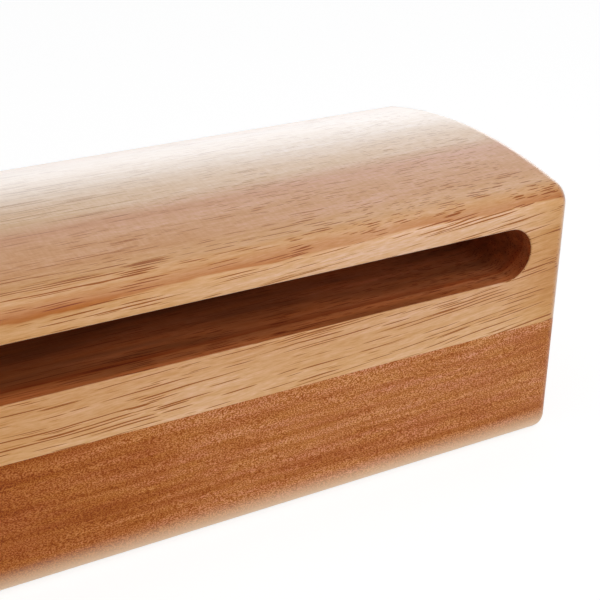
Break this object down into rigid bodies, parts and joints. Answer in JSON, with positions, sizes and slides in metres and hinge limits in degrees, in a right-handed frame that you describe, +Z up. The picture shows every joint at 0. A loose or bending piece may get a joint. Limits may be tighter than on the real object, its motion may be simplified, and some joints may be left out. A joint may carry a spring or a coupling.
{
  "type": "woodblock",
  "caption": "Two-tone hardwood woodblock with a domed top, a long routed slot in the front and a steel rod clamp with a wing nut on the back.",
  "frame": {"origin": "centre of the flat underside of the base block", "axes": "+Z up, +X along the block to the right as seen from the front, and the slot opens towards -Y"},
  "size_m": [0.2, 0.113, 0.0639],
  "materials": {
    "dark_hardwood": "satin lacquer",
    "pale_hardwood": "satin lacquer",
    "chromed_strap": "polished",
    "chromed_eye_bolt": "polished",
    "chromed_wing_nut": "satin",
    "zinc_fasteners": "zinc plated"
  },
  "bodies": {
    "block": {"base_block": "dark_hardwood", "resonator_block": "pale_hardwood", "rod_bracket": "chromed_strap", "bracket_screws": "zinc_fasteners", "flat_washer": "zinc_fasteners", "lock_washer": "zinc_fasteners"},
    "eye_bolt": {"eye_bolt": "chromed_eye_bolt"},
    "wing_nut": {"wing_nut": "chromed_wing_nut"}
  },
  "joints": [
    {"name": "wing_nut_turn", "type": "hinge", "parent": "block", "child": "wing_nut", "pos_m": [0, 0.064, 0.016], "axis": [0, -1, 0], "range_deg": [-180, 1080]},
    {"name": "eye_bolt_draw", "type": "slide", "parent": "block", "child": "eye_bolt", "axis": [0, 1, 0], "range_m": [-0.0005, 0.003]}
  ],
  "couplings": [
    {"joint": "wing_nut_turn", "follows": "eye_bolt_draw", "rad_per_m": 6283.2}
  ]
}
